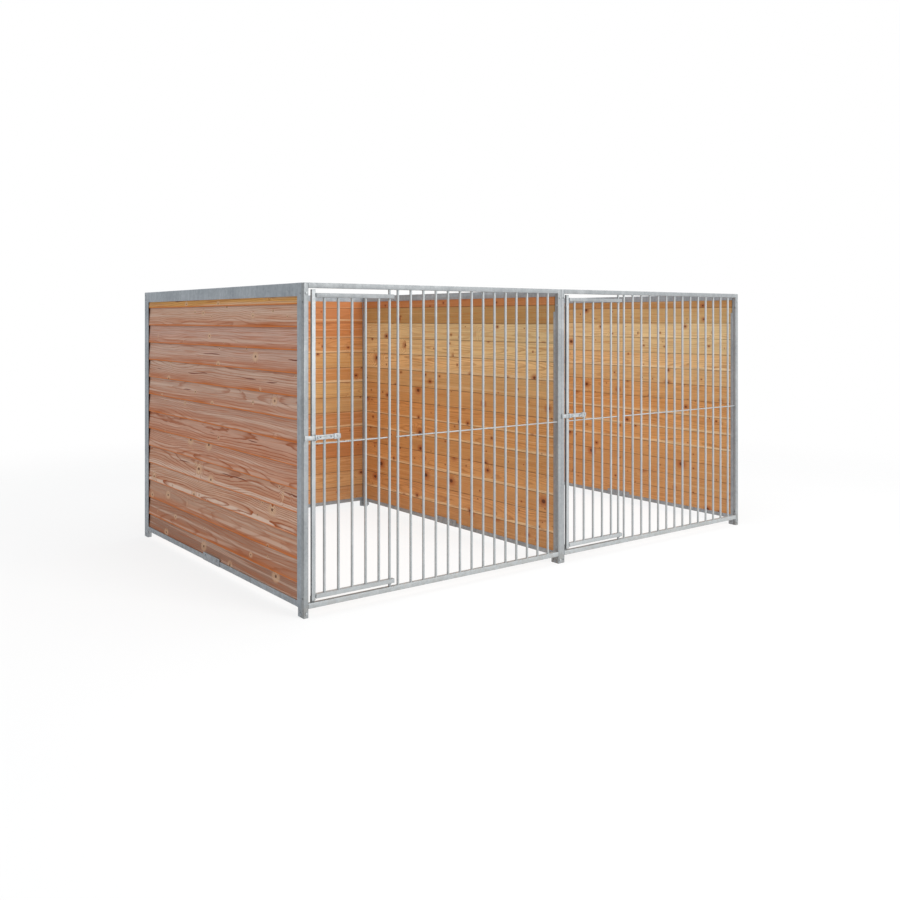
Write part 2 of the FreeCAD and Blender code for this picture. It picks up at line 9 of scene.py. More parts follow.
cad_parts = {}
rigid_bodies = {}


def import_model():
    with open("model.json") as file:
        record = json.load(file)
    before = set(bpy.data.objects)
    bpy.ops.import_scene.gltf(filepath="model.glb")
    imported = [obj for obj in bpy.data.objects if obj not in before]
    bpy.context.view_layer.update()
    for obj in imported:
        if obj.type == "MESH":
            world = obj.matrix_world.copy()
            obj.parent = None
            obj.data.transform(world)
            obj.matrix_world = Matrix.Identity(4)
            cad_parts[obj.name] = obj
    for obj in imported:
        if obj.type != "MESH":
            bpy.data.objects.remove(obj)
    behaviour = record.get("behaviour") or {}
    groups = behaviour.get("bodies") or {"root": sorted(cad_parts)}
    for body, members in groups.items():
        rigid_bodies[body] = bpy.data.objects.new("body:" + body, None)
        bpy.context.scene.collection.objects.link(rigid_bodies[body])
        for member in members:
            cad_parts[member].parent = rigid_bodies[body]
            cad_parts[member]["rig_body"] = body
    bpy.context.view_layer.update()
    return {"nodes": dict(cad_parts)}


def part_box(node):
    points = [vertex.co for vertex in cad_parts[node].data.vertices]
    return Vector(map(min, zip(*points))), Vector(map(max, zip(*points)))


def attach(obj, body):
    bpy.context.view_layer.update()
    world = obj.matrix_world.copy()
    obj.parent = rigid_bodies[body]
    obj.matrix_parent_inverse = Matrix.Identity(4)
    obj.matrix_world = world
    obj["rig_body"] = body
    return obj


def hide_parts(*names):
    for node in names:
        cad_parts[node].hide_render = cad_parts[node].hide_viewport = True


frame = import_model()


# Posts and top rails of the barred fronts: square steel tube, welded and then hot-dip galvanised.
# The tube is rolled, so its long corners are round and only the cut ends are sharp. The zinc
# sets in crystals with dull clouds between them, and the feet gather dirt.

TUBE_CORNER = 0.0032
CORNER_STEPS = 3
SHORTEST_IN_RADII = 4
SQUARE_BEND = (70, 110)
BROAD_SIDE = 0.006
ROLLED_SHARP = 32
MERGE_WITHIN = 1e-5
FLAT_WITHIN = 0.6
FRONT_ZINC = {
    "bright": "#989c9e", "dull": "#7b7f82", "bloom": "#a7aaac", "dirt": "#7d7569", "crystal": 75.0,
}
ZINC_LEVEL = {"cloud": 0.42, "crystal": 0.34, "run": 0.24}
BLOOM_SHARE = 0.45
DIRT_SHARE = 0.35
DIRT_HEIGHT = 0.16
ZINC_RELIEF = 0.0006


def linear(code):
    """A colour code as the linear values that a shader takes."""
    parts = [int(code[place:place + 2], 16) / 255 for place in (1, 3, 5)]
    curved = [((part + 0.055) / 1.055) ** 2.4 if part > 0.04045 else part / 12.92 for part in parts]
    return (*curved, 1.0)


def put(tree, kind, sockets=None, **settings):
    """Add a node to a tree; a socket takes either a value or another node's output."""
    added = tree.nodes.new(kind)
    for setting, value in settings.items():
        setattr(added, setting, value)
    for socket, value in (sockets or {}).items():
        if isinstance(value, bpy.types.NodeSocket):
            tree.links.new(value, added.inputs[socket])
        else:
            added.inputs[socket].default_value = value
    return added


def calc(tree, operation, *values):
    """The outcome of a sum on values or on other nodes' outputs."""
    return put(tree, "ShaderNodeMath", dict(enumerate(values)), operation=operation).outputs[0]


def tint(tree, share, under, over, blend="MIX"):
    """Lay one colour over another by a share."""
    mixed = put(tree, "ShaderNodeMix", {0: share, 6: under, 7: over}, data_type="RGBA", blend_type=blend)
    return mixed.outputs[2]


def ease(tree, value, start, end):
    """Nought at start, one at end, smooth between."""
    sockets = {"Value": value, "From Min": start, "From Max": end}
    return put(tree, "ShaderNodeMapRange", sockets, interpolation_type="SMOOTHSTEP").outputs[0]


def mottle(tree, place, size, detail, stretch=None):
    """Cloudy variation whose patches are about one over size, drawn out where stretch is small."""
    if stretch:
        place = put(tree, "ShaderNodeVectorMath", {0: place, 1: stretch}, operation="MULTIPLY").outputs[0]
    noise = put(tree, "ShaderNodeTexNoise", {"Vector": place, "Scale": size, "Detail": detail})
    return noise.outputs["Fac"]


def start_finish(name):
    """A material with an empty tree but for its shader."""
    finish = bpy.data.materials.new(name)
    finish.use_nodes = True
    tree = finish.node_tree
    tree.nodes.clear()
    shader = put(tree, "ShaderNodeBsdfPrincipled")
    put(tree, "ShaderNodeOutputMaterial", {"Surface": shader.outputs["BSDF"]})
    return finish, tree, shader


def coat(tree, shader, colour, rough, relief, strength, depth):
    """Give a shader its colour, its roughness and a fine relief."""
    bump = put(tree, "ShaderNodeBump", {"Height": relief, "Strength": strength, "Distance": depth})
    tree.links.new(colour, shader.inputs["Base Color"])
    tree.links.new(rough, shader.inputs["Roughness"])
    tree.links.new(bump.outputs["Normal"], shader.inputs["Normal"])


def galvanised(name, zinc):
    """Hot-dip zinc: crystals, dull clouds, pale bloom, runs down the uprights and dirt near the ground."""
    finish, tree, shader = start_finish(name)
    place = put(tree, "ShaderNodeTexCoord").outputs["Object"]
    crystals = put(tree, "ShaderNodeTexVoronoi", {"Vector": place, "Scale": zinc["crystal"]})
    crystal = put(tree, "ShaderNodeSeparateColor", {0: crystals.outputs["Color"]}).outputs[0]
    clouds = mottle(tree, place, 3.1, 5.0)
    runs = mottle(tree, place, 1.0, 3.0, (34.0, 34.0, 2.2))
    specks = mottle(tree, place, 260.0, 2.0)
    cloud_level = calc(tree, "MULTIPLY", ease(tree, clouds, 0.3, 0.7), ZINC_LEVEL["cloud"])
    level = calc(tree, "MULTIPLY_ADD", crystal, ZINC_LEVEL["crystal"], cloud_level)
    level = calc(tree, "MULTIPLY_ADD", ease(tree, runs, 0.3, 0.7), ZINC_LEVEL["run"], level)
    colour = tint(tree, level, linear(zinc["dull"]), linear(zinc["bright"]))
    bloom = ease(tree, mottle(tree, place, 7.0, 6.0), 0.56, 0.74)
    colour = tint(tree, calc(tree, "MULTIPLY", bloom, BLOOM_SHARE), colour, linear(zinc["bloom"]))
    height = put(tree, "ShaderNodeSeparateXYZ", {0: place}).outputs["Z"]
    low = ease(tree, height, DIRT_HEIGHT, 0.0)
    splash = calc(tree, "MULTIPLY", low, ease(tree, mottle(tree, place, 38.0, 4.0), 0.38, 0.62))
    colour = tint(tree, calc(tree, "MULTIPLY", splash, DIRT_SHARE), colour, linear(zinc["dirt"]))
    rough = calc(tree, "MULTIPLY_ADD", level, -0.16, 0.56)
    rough = calc(tree, "MULTIPLY_ADD", bloom, 0.16, rough)
    relief = calc(tree, "MULTIPLY_ADD", specks, 0.5, calc(tree, "MULTIPLY", crystal, 0.5))
    coat(tree, shader, colour, rough, relief, 0.22, ZINC_RELIEF)
    shader.inputs["Metallic"].default_value = 0.15
    return finish


def add_piece(name, mesh, node):
    """Put a finished mesh in a node's place and on the node's body."""
    piece = bpy.data.objects.new(name, mesh)
    bpy.context.scene.collection.objects.link(piece)
    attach(piece, frame["nodes"][node]["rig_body"])
    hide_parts(node)


def copy_node(node):
    """A node's mesh with its seams merged, ready to be reshaped."""
    shaped = bmesh.new()
    shaped.from_mesh(frame["nodes"][node].data)
    bmesh.ops.remove_doubles(shaped, verts=shaped.verts, dist=MERGE_WITHIN)
    return shaped


def join_flats(shaped):
    """Make each flat side of a copy one face."""
    bmesh.ops.dissolve_limit(shaped, angle_limit=math.radians(FLAT_WITHIN), verts=shaped.verts,
                             edges=shaped.edges)


def round_off(shaped, edges, radius, steps):
    """Turn edges of a copy into curves of a radius."""
    bmesh.ops.bevel(shaped, geom=edges, offset=radius, segments=steps, profile=0.5, affect="EDGES",
                    clamp_overlap=True)


def stand_in(name, shaped, node, sharp, finish):
    """Put a reshaped copy in its node's place; only edges that bend more than sharp stay crisp."""
    mesh = bpy.data.meshes.new(name)
    shaped.to_mesh(mesh)
    shaped.free()
    mesh.shade_smooth()
    mesh.set_sharp_from_angle(angle=math.radians(sharp))
    mesh.materials.append(finish)
    add_piece(name, mesh, node)


def broad(face):
    """Whether a face is a side of the metal and not the thin rim of a sheet or a hole."""
    return 2 * face.calc_area() / face.calc_perimeter() > BROAD_SIDE


def round_corners(node, radius, finish):
    """Stand in for a node with a copy of it whose corners are rolled round, as tube and bent sheet are."""
    shaped = copy_node(node)
    join_flats(shaped)
    corners = []
    for edge in shaped.edges:
        if len(edge.link_faces) != 2 or edge.calc_length() < SHORTEST_IN_RADII * radius:
            continue
        bend = math.degrees(edge.calc_face_angle_signed())
        if SQUARE_BEND[0] < bend < SQUARE_BEND[1] and all(broad(face) for face in edge.link_faces):
            corners.append(edge)
    round_off(shaped, corners, radius, CORNER_STEPS)
    stand_in(node + "_rolled", shaped, node, ROLLED_SHARP, finish)


front_steel = galvanised("front_galvanised", FRONT_ZINC)
for run in (1, 2):
    for rolled in ("posts", "top_rail"):
        round_corners(f"front_{run}_{rolled}", TUBE_CORNER, front_steel)


# Fixed bars of the fronts, with the bottom rails they stand on: round steel tube, cut to length and
# welded to the rail above and below, so each end sits in a small uneven bead. Their zinc is paler; on
# the bottom rails, square tube dipped with the posts, the paler zinc is painted bounce light from the
# floor.
# One pattern of a row of bars serves the fronts and the doors.

FRONT_BARS = 14
FRONT_SEED = 11
BAR_SIDES = 28
BAR_STEPS = 6
BAR_BEAD = 0.0022
BEAD_SIDES = 7
BEAD_LUMPS = 190.0
BEAD_SWELL = 0.0035
ROUND_SHARP = 35
# Paler zinc of the bars and rods; on the fronts' bottom rails and on the doors' stiles and bottom rails it
# is painted light.
BAR_ZINC_AND_PAINTED_LIGHT = {
    "bright": "#aaaeb0", "dull": "#959a9c", "bloom": "#b7babb", "dirt": "#857d70", "crystal": 85.0,
}


def bar_row_tree():
    """A row of round bars along X with a weld bead at both ends of each."""
    tree = bpy.data.node_groups.new("bar_row", "GeometryNodeTree")
    for socket, kind in (("Bars", "Int"), ("Pitch", "Float"), ("First Foot", "Vector"), ("Radius", "Float"),
                         ("Height", "Float"), ("Bead", "Float"), ("Seed", "Int"), ("Steel", "Material")):
        tree.interface.new_socket(socket, in_out="INPUT", socket_type="NodeSocket" + kind)
    tree.interface.new_socket("Row", in_out="OUTPUT", socket_type="NodeSocketGeometry")
    given = put(tree, "NodeGroupInput").outputs
    step = put(tree, "ShaderNodeCombineXYZ", {"X": given["Pitch"]}).outputs[0]
    feet = put(tree, "GeometryNodeMeshLine", {"Count": given["Bars"], "Start Location": given["First Foot"],
                                              "Offset": step})
    tube_sizes = {"Vertices": BAR_SIDES, "Side Segments": BAR_STEPS, "Radius": given["Radius"],
                  "Depth": given["Height"]}
    tube = put(tree, "GeometryNodeMeshCylinder", tube_sizes, fill_type="NONE")
    half = calc(tree, "MULTIPLY", given["Height"], 0.5)
    middle = put(tree, "ShaderNodeCombineXYZ", {"Z": half}).outputs[0]
    tube = put(tree, "GeometryNodeTransform", {"Geometry": tube.outputs["Mesh"], "Translation": middle})
    ring_sizes = {"Resolution": BAR_SIDES, "Radius": given["Radius"]}
    ring = put(tree, "GeometryNodeCurvePrimitiveCircle", ring_sizes)
    weld_sizes = {"Resolution": BEAD_SIDES, "Radius": given["Bead"]}
    weld = put(tree, "GeometryNodeCurvePrimitiveCircle", weld_sizes)
    bead = put(tree, "GeometryNodeCurveToMesh", {"Curve": ring.outputs["Curve"],
                                                 "Profile Curve": weld.outputs["Curve"]})
    lumps = put(tree, "ShaderNodeTexNoise", {"Scale": BEAD_LUMPS, "Detail": 1.0}).outputs["Color"]
    uneven = put(tree, "ShaderNodeVectorMath", {0: lumps, 1: (0.5, 0.5, 0.5)}, operation="SUBTRACT")
    swell = put(tree, "ShaderNodeVectorMath", {0: uneven.outputs[0], "Scale": BEAD_SWELL},
                operation="SCALE")
    bead = put(tree, "GeometryNodeSetPosition", {"Geometry": bead.outputs["Mesh"],
                                                 "Offset": swell.outputs[0]})
    top = put(tree, "ShaderNodeCombineXYZ", {"Z": given["Height"]}).outputs[0]
    upper = put(tree, "GeometryNodeTransform", {"Geometry": bead.outputs["Geometry"], "Translation": top})
    bar = put(tree, "GeometryNodeJoinGeometry")
    for part in (upper.outputs["Geometry"], bead.outputs["Geometry"], tube.outputs["Geometry"]):
        tree.links.new(part, bar.inputs["Geometry"])
    bar = put(tree, "GeometryNodeSetShadeSmooth", {"Geometry": bar.outputs["Geometry"]})
    turn = put(tree, "FunctionNodeRandomValue", {0: (0, 0, 0), 1: (0, 0, math.tau), "Seed": given["Seed"]},
               data_type="FLOAT_VECTOR")
    row = put(tree, "GeometryNodeInstanceOnPoints", {"Points": feet.outputs["Mesh"],
                                                     "Rotation": turn.outputs[0],
                                                     "Instance": bar.outputs["Geometry"]})
    row = put(tree, "GeometryNodeRealizeInstances", {"Geometry": row.outputs["Instances"]})
    row = put(tree, "GeometryNodeSetMaterial", {"Geometry": row.outputs["Geometry"],
                                                "Material": given["Steel"]})
    put(tree, "NodeGroupOutput", {"Row": row.outputs["Geometry"]})
    return tree


def grow(name, tree, sizes):
    """Run a tree with these inputs and keep what it makes as a plain mesh."""
    carrier = bpy.data.objects.new(name, bpy.data.meshes.new(name + "_seed"))
    bpy.context.scene.collection.objects.link(carrier)
    pattern = carrier.modifiers.new(name, "NODES")
    pattern.node_group = tree
    for socket in tree.interface.items_tree:
        if socket.in_out == "INPUT":
            pattern[socket.identifier] = sizes[socket.name]
    graph = bpy.context.evaluated_depsgraph_get()
    mesh = bpy.data.meshes.new_from_object(carrier.evaluated_get(graph), preserve_all_data_layers=True,
                                           depsgraph=graph)
    mesh.name = name
    bpy.data.objects.remove(carrier)
    return mesh


bar_row = bar_row_tree()
bar_zinc_and_painted_light = galvanised("bar_galvanised_and_painted_light", BAR_ZINC_AND_PAINTED_LIGHT)


def weld_bars(node, bars, seed):
    """Replace a node's bars with a row of the same bars and their beads."""
    low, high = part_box(node)
    radius = (high.y - low.y) / 2
    foot = (low.x + radius, low.y + radius, low.z)
    pitch = (high.x - low.x - 2 * radius) / (bars - 1)
    mesh = grow(node + "_welded", bar_row, {"Bars": bars, "Pitch": pitch, "First Foot": foot,
                                            "Radius": radius, "Height": high.z - low.z, "Bead": BAR_BEAD,
                                            "Seed": seed, "Steel": bar_zinc_and_painted_light})
    add_piece(node + "_welded", mesh, node)


def smooth_round(node, finish):
    """Stand in for a node of round stock with a merged, smoothly shaded copy of it."""
    stand_in(node + "_drawn", copy_node(node), node, ROUND_SHARP, finish)


for run in (1, 2):
    # The bottom rail takes the bars' paler zinc as painted bounce light from the floor.
    round_corners(f"front_{run}_bottom_rail", TUBE_CORNER, bar_zinc_and_painted_light)
    weld_bars(f"front_{run}_bars", FRONT_BARS, FRONT_SEED + run)
    for drawn in ("hinge_bar", "mid_rod"):
        smooth_round(f"front_{run}_{drawn}", bar_zinc_and_painted_light)


# Hinge collars and door stops: rings of thick tube welded round the hinge bars, on which the door rails
# rest and turn, and a lug of flat bar on each bottom rail behind the door's closing edge.
# They are galvanised with the front.

for fitting in ("hinge_collars", "door_stops"):
    smooth_round(fitting, front_steel)


# Doors: a box-section closing stile with a long slot, two rails drilled at one end for the hinge bar,
# five round bars and a thin rod. Welded, and galvanised like the fronts, with the paler zinc on all
# but the top rail; on the stile and the bottom rail that paler zinc is painted light. Their bars come
# from the same row of bars as the fronts'.

STILE_CORNER = 0.0022
DOOR_BARS = 5
DOOR_SEED = 21

for run in (1, 2):
    round_corners(f"door_{run}_top_rail", STILE_CORNER, front_steel)
    # The stile and the bottom rail take the paler zinc as painted light; the top rail keeps the front's
    # zinc.
    for rolled in ("stile", "bottom_rail"):
        round_corners(f"door_{run}_{rolled}", STILE_CORNER, bar_zinc_and_painted_light)
    weld_bars(f"door_{run}_bars", DOOR_BARS, DOOR_SEED + run)
    smooth_round(f"door_{run}_mid_rod", bar_zinc_and_painted_light)


# Latches: a flat strip with a padlock hole slides over a plate on the door, under two bent straps,
# held by a headed pin in its long hole, and shoots into a strap on the post. All are flat steel,
# zinc plated, so brighter than the frame, and rubbed bright along the way the strip slides.

FITTING_ZINC = {"bright": "#aaaeb0", "dull": "#8f9395", "rub": "#babdbe"}
RUB_SHARE = 0.5
PLATE_RELIEF = 0.0003
STRIP_EDGE = 0.0007
EDGE_STEPS = 2
EDGE_BEND = 40
TUMBLED_SHARP = 35


def zinc_plated(name, zinc):
    """Bright zinc plate with faint drawn lines along X and soft handling marks."""
    finish, tree, shader = start_finish(name)
    place = put(tree, "ShaderNodeTexCoord").outputs["Object"]
    drawn = mottle(tree, place, 1.0, 3.0, (16.0, 900.0, 900.0))
    hazy = mottle(tree, place, 46.0, 4.0)
    colour = tint(tree, ease(tree, hazy, 0.3, 0.7), linear(zinc["dull"]), linear(zinc["bright"]))
    rub = calc(tree, "MULTIPLY", ease(tree, drawn, 0.52, 0.72), RUB_SHARE)
    colour = tint(tree, rub, colour, linear(zinc["rub"]))
    rough = calc(tree, "MULTIPLY_ADD", hazy, 0.22, calc(tree, "MULTIPLY_ADD", drawn, 0.14, 0.28))
    coat(tree, shader, colour, rough, drawn, 0.16, PLATE_RELIEF)
    shader.inputs["Metallic"].default_value = 0.3
    return finish


fitting_zinc = zinc_plated("fitting_zinc", FITTING_ZINC)


def break_edges(node, radius):
    """Stand in for a small fitting with a zinc-plated copy whose sharp edges are broken by tumbling."""
    shaped = copy_node(node)
    join_flats(shaped)
    edges = [edge for edge in shaped.edges
             if len(edge.link_faces) == 2 and edge.calc_face_angle_signed() > math.radians(EDGE_BEND)]
    round_off(shaped, edges, radius, EDGE_STEPS)
    stand_in(node + "_tumbled", shaped, node, TUMBLED_SHARP, fitting_zinc)


for run in (1, 2):
    for fitting in (f"door_{run}_latch_plate", f"door_{run}_latch_guides", f"door_{run}_latch_pin",
                    f"latch_{run}_bolt"):
        break_edges(fitting, STRIP_EDGE)
break_edges("latch_keepers", STRIP_EDGE)


# Frames of the boarded walls: stiles and rails bent from galvanised sheet into channels that take the
# boards' ends and edges, with slotted plates at the middle of the bottom rails. The sheet is coated at
# the mill, so its crystals are larger and bluer than on the fronts. Its bends are round.

WALLS = ("left_wall", "divider", "right_wall", "rear_wall_1", "rear_wall_2")
SHEET_BEND = 0.0036
SHEET_ZINC = {
    "bright": "#a6adb3", "dull": "#828a91", "bloom": "#b8bfc4", "dirt": "#756e63", "crystal": 58.0,
}

sheet_steel = galvanised("sheet_galvanised", SHEET_ZINC)
for wall in WALLS:
    for bent in ("stiles", "top_rail", "bottom_rail"):
        round_corners(f"{wall}_{bent}", SHEET_BEND, sheet_steel)
round_corners("mid_plates", SHEET_BEND, sheet_steel)


# Boards of the walls: bare softwood, lapped like weatherboard, planed flat inside and sawn on the
# tapered outside. They lie loose on one another in the channels, the top one ripped to fit.
# Each comes from another log, so heartwood, sapwood, rings and knots differ from board to board.

BOARD_COVER = 0.132
BOARD_LAP = 0.013
BOARD_TIP = 0.011
BOARD_BUTT = 0.023
BUTT_EASED = ((0.002, 0.0), (0.0004, 0.0006), (0.0, 0.0022))
HEAD_EASED = 0.001
INNER_EASED = (0.0014, 0.0018)
LAP_PLAY = 0.00048
BOARD_PLAY = 0.0009
PLAY_WAVES = 2.2
FULL_BOARDS = 13
BOARD_STEPS = 40
STACK_MIXED = 0.06
STACK_SEED = 31
TONE_SEED = 100.0

# The log, in metres: how far apart two logs lie in the pattern, how far the heart lies from the board and
# wanders, how far knots and waves push the rings, how wide a split opens. "pin_cells" counts the places
# for small knots in a metre, and a streak of WHOLE_WIDTH does not change across a board.
LOG = {
    "apart": 57.0, "knots_apart": 9.0, "knot_squeeze": 0.72,
    "heart_up": (0.2, -0.04), "heart_in": (0.1, 0.035), "sway": 0.11, "drift": 0.09,
    "knot_push": 0.034, "pin_push": 0.009, "wave": 0.006, "ripple": 0.004,
    "pin_cells": 6.0, "pin_size": (0.0025, 0.0065), "split": 0.0034, "relief": 0.0012,
}
WHOLE_WIDTH = 9.0
# Painted shade on the board ends inside the channels: full within 36 mm of a board's end, gone at 45 mm.
CHANNEL_SHADE = (0.045, 0.036)

# Looks of a side of the boards. "rows" goes from the lowest board to the top one, a "share" is how far
# a colour covers what lies under it, and an "at" is where a mark begins and where it is full.
PLANED = {
    "rows": ((0.0, "#cb9762"), (0.3, "#d4a067"), (0.5, "#d49e64"), (0.6, "#dab079"), (0.68, "#e3bf8a"),
             (0.77, "#e3c793"), (0.85, "#e2c997"), (0.89, "#c49c64"), (0.93, "#bd965f"), (1.0, "#c3814f")),
    "ruddy": "#bc7634", "ruddy_share": 0.42, "painted_glow": 0.0, "pale": (0.6, 0.72), "patch": 0.3,
    "late": "#975522", "late_share": 0.52, "late_at": (0.5, 0.9), "late_least": 0.35, "ring": 0.0078,
    "sapwood": "#efd7ab", "sap_share": 0.66, "strip": (1.0, 0.6),
    "knot": "#552b12", "knot_share": (0.85, 0.85), "knot_size": (0.006, 0.017), "knot_cells": 4.2,
    "halo": "#a3522a", "halo_share": 0.66, "halo_at": (3.6, 1.1),
    "crack_and_shade": "#4a2611", "crack_share": 0.2,
    "edge": "#6b3817", "edge_at": (0.0172, 0.0138), "edge_share": 0.75,
    "joint_line_and_lap_shade": 0.7, "joint_line_and_lap_shade_at": (0.1412, 0.1442), "channel": 0.0, "rough": 0.56,
}
REAR_PLANED = dict(PLANED, rows=(
    (0.0, "#c69265"), (0.08, "#d8b685"), (0.16, "#c99664"), (0.26, "#c28250"), (0.4, "#c28f60"),
    (0.53, "#d5b27b"), (0.62, "#c38c58"), (0.7, "#d4ad75"), (0.77, "#bb7b4a"), (1.0, "#bb784a"),
))
# On the sawn outside, the orange glow low on each board and the orange band along its lower edge are
# painted bounce light, and the dark band under each lap and the dark board ends in the channels are painted
# shade.
SAWN = {
    "rows": ((0.0, "#9e7a66"), (0.12, "#b9886d"), (0.21, "#cca890"), (0.3, "#c0967c"), (0.42, "#c4957d"),
             (0.55, "#c59a84"), (0.7, "#ccaa96"), (0.82, "#d3aa98"), (0.91, "#d4af98"), (0.96, "#dba35c"),
             (1.0, "#d9a055")),
    "ruddy": "#b6622a", "ruddy_share": 0.5, "painted_glow": 0.9, "pale": (0.53, 0.63), "patch": 0.28,
    "late": "#9c4e1c", "late_share": 0.86, "late_at": (0.56, 0.93), "late_least": 0.55, "ring": 0.0088,
    "sapwood": "#e4c9b5", "sap_share": 0.88, "strip": (0.5, 0.3),
    "knot": "#5d361f", "knot_share": (0.85, 0.6), "knot_size": (0.004, 0.011), "knot_cells": 3.7,
    "halo": "#e2bd98", "halo_share": 0.6, "halo_at": (4.6, 2.6),
    "crack_and_shade": "#6b2b0f", "crack_share": 0.95,
    "edge": "#cf7128", "edge_at": (0.012, 0.002), "edge_share": 0.92,
    "joint_line_and_lap_shade": 0.15, "joint_line_and_lap_shade_at": (0.118, 0.132), "channel": 0.9, "rough": 0.72,
}


def board_wood(name, wood):
    """Softwood cut from a log: rings round a wandering heart, knots that push them, sapwood, splits."""
    finish, tree, shader = start_finish(name)
    place = put(tree, "ShaderNodeAttribute", attribute_name="grain_place").outputs["Vector"]
    log = put(tree, "ShaderNodeAttribute", attribute_name="board_log").outputs["Vector"]
    tone = put(tree, "ShaderNodeAttribute", attribute_name="board_tone").outputs["Fac"]
    spot = put(tree, "ShaderNodeSeparateXYZ", {0: place})
    chance = put(tree, "ShaderNodeSeparateXYZ", {0: log})
    across = spot.outputs["Y"]
    up = spot.outputs["Z"]
    along = calc(tree, "MULTIPLY_ADD", chance.outputs["X"], LOG["apart"], spot.outputs["X"])

    def streaks(length, width, detail, offset):
        """Variation drawn out along the board, another one for every offset."""
        long_way = calc(tree, "DIVIDE", along, length)
        short_way = calc(tree, "DIVIDE", up, width)
        spread = put(tree, "ShaderNodeCombineXYZ", {"X": long_way, "Y": short_way, "Z": offset}).outputs[0]
        noise = put(tree, "ShaderNodeTexNoise", {"Vector": spread, "Scale": 1.0, "Detail": detail})
        return noise.outputs["Fac"]

    face_along = calc(tree, "MULTIPLY", along, LOG["knot_squeeze"])
    face_up = calc(tree, "MULTIPLY_ADD", chance.outputs["Y"], LOG["knots_apart"], up)
    face = put(tree, "ShaderNodeCombineXYZ", {"X": face_along, "Y": face_up}).outputs[0]
    whorls = streaks(0.33, WHOLE_WIDTH, 1.0, 71.0)

    def knots(per_metre, often, least, most):
        """Where knots sit: how many radii away the nearest is, and whether it is there at all."""
        cells = put(tree, "ShaderNodeTexVoronoi", {"Vector": face, "Scale": per_metre},
                    voronoi_dimensions="2D")
        pick = put(tree, "ShaderNodeSeparateColor", {0: cells.outputs["Color"]})
        swell = calc(tree, "MULTIPLY", pick.outputs[1], pick.outputs[1])
        radius = calc(tree, "MULTIPLY_ADD", swell, most - least, least)
        ratio = calc(tree, "DIVIDE", calc(tree, "DIVIDE", cells.outputs["Distance"], per_metre), radius)
        likely = calc(tree, "MULTIPLY", ease(tree, whorls, 0.24, 0.58), often)
        there = calc(tree, "LESS_THAN", pick.outputs[0], likely)
        return ratio, there

    big, big_there = knots(wood["knot_cells"], wood["knot_share"][0], *wood["knot_size"])
    small, small_there = knots(LOG["pin_cells"], wood["knot_share"][1], *LOG["pin_size"])
    core = calc(tree, "MULTIPLY", ease(tree, big, 1.15, 0.7), big_there)
    halo = calc(tree, "MULTIPLY", ease(tree, big, *wood["halo_at"]), big_there)
    pin = calc(tree, "MULTIPLY", ease(tree, small, 1.2, 0.6), small_there)
    pin_halo = calc(tree, "MULTIPLY", ease(tree, small, 3.4, 0.8), small_there)

    # Growth rings: the distance from the heart, and the dark late wood at the end of each ring.
    sway = calc(tree, "MULTIPLY_ADD", streaks(0.9, WHOLE_WIDTH, 1.0, 3.0), LOG["sway"], -LOG["sway"] / 2)
    drift = calc(tree, "MULTIPLY_ADD", streaks(1.3, WHOLE_WIDTH, 1.0, 8.0), LOG["drift"], -LOG["drift"] / 2)
    heart_up = calc(tree, "MULTIPLY_ADD", chance.outputs["Y"], *LOG["heart_up"])
    heart_in = calc(tree, "MULTIPLY_ADD", chance.outputs["Z"], *LOG["heart_in"])
    rise = calc(tree, "ADD", calc(tree, "SUBTRACT", up, heart_up), sway)
    sink = calc(tree, "ADD", calc(tree, "ADD", across, heart_in), drift)
    reach = calc(tree, "SQRT", calc(tree, "MULTIPLY_ADD", rise, rise, calc(tree, "MULTIPLY", sink, sink)))
    swirl = calc(tree, "MULTIPLY", ease(tree, big, 6.5, 0.6), big_there)
    for push, far in ((pin_halo, "pin_push"), (swirl, "knot_push"), (streaks(0.22, 0.03, 3.0, 5.0), "wave"),
                      (streaks(0.16, 0.022, 1.0, 15.0), "ripple")):
        reach = calc(tree, "MULTIPLY_ADD", push, LOG[far], reach)
    ring = calc(tree, "FRACT", calc(tree, "DIVIDE", reach, wood["ring"]))
    late = calc(tree, "MULTIPLY", ease(tree, ring, *wood["late_at"]), ease(tree, ring, 1.0, 0.93))
    patchy = calc(tree, "MULTIPLY_ADD", streaks(0.6, 0.05, 2.0, 13.0), 0.9, 0.25)
    late = calc(tree, "MULTIPLY", late, patchy)
    board_late = calc(tree, "MULTIPLY_ADD", chance.outputs["X"], 0.9, wood["late_least"])
    late = calc(tree, "MULTIPLY", late, board_late)

    # Colour of the board, then what lies over it: red streaks and a painted orange glow, sapwood, halos,
    # late wood, edges, joint lines and painted shade.
    ramp = put(tree, "ShaderNodeValToRGB", {"Fac": tone})
    stops = ramp.color_ramp.elements
    for at, code in wood["rows"][1:-1]:
        stops.new(at).color = linear(code)
    stops[0].color = linear(wood["rows"][0][1])
    stops[-1].color = linear(wood["rows"][-1][1])
    colour = ramp.outputs["Color"]
    fibre = streaks(0.35, 0.0045, 3.0, 21.0)
    board_level = calc(tree, "MULTIPLY_ADD", chance.outputs["X"], 0.18, 0.9)
    level = calc(tree, "MULTIPLY", calc(tree, "MULTIPLY_ADD", fibre, 0.64, 0.7), board_level)
    patch = streaks(0.3, 0.05, 2.0, 61.0)
    patch = calc(tree, "MULTIPLY_ADD", patch, wood["patch"], 1.0 - wood["patch"] / 2)
    level = calc(tree, "MULTIPLY", level, patch)
    grey = put(tree, "ShaderNodeCombineXYZ", {"X": level, "Y": level, "Z": level}).outputs[0]
    colour = tint(tree, 1.0, colour, grey, "MULTIPLY")
    ruddy = ease(tree, streaks(0.5, 0.011, 3.0, 27.0), 0.52, 0.66)
    ruddy = calc(tree, "MULTIPLY", ruddy, wood["ruddy_share"])
